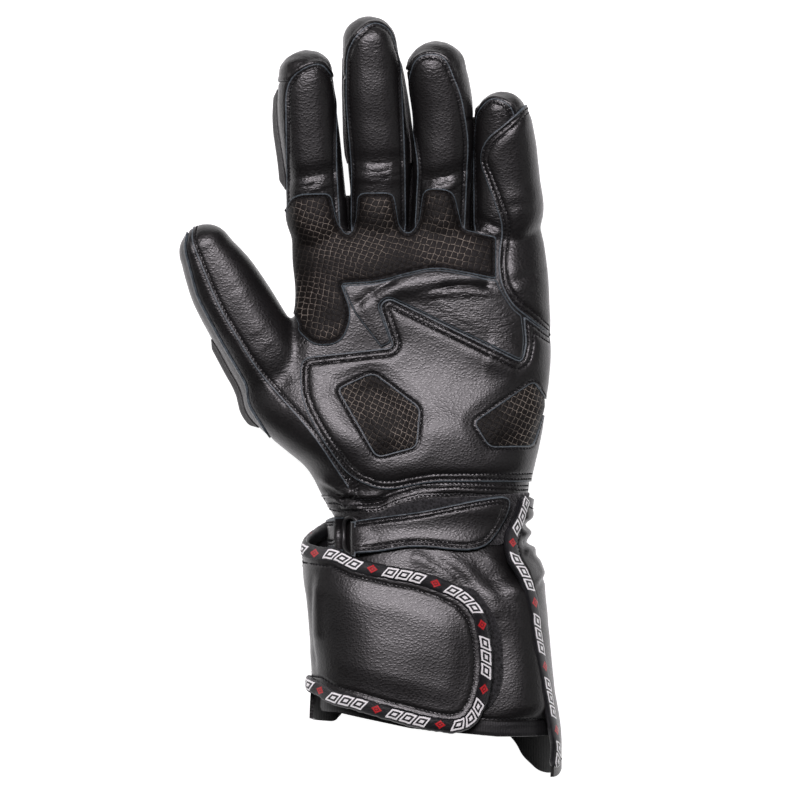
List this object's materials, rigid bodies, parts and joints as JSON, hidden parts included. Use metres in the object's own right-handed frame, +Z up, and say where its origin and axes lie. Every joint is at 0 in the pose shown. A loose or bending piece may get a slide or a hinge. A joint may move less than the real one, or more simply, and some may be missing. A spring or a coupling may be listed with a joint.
{
  "type": "motorcycle glove",
  "caption": "Left-hand leather motorcycle race glove with a long gauntlet cuff, textured grip panels, a wrist strap and a bound closing flap, lying palm up.",
  "frame": {"origin": "on the surface that the glove lies on, under the middle of its outline", "axes": "+Y to the fingertips, +X to the little finger, +Z up out of the palm"},
  "size_m": [0.161, 0.3182, 0.0621],
  "materials": {
    "leather": "black full-grain leather, satin",
    "grip_leather": "dark leather printed with a honeycomb net",
    "guard_leather": "black leather over foam",
    "loop_fabric": "black loop pile",
    "binding": "black satin binding with white bars and red diamonds",
    "plastic": "black moulded plastic"
  },
  "bodies": {
    "root": {"index_front": "leather", "middle_front": "leather", "ring_front": "leather", "little_front": "leather", "fourchette_index_middle": "leather", "fourchette_middle_ring": "leather", "fourchette_ring_little": "leather", "index_side": "leather", "index_back": "leather", "middle_back": "leather", "ring_back": "leather", "little_back": "leather", "thumb_front": "leather", "thumb_side": "leather", "thumb_back": "leather", "palm_base": "leather", "hand_back": "leather", "little_side_panel": "leather", "palm_gusset": "leather", "heel_panel": "leather", "wrist_strap": "leather", "strap_tab": "leather", "cuff_front": "leather", "cuff_hem": "leather", "cuff_flap": "leather", "cuff_back": "leather", "grip_panel": "grip_leather", "heel_pad_thumb": "grip_leather", "heel_pad_little": "grip_leather", "index_guard": "guard_leather", "middle_guard": "guard_leather", "thumb_guard": "guard_leather", "wrist_loop_patch": "loop_fabric", "flap_loop_patch": "loop_fabric", "flap_binding": "binding", "edge_binding": "binding", "strap_ring": "plastic"}
  },
  "joints": []
}
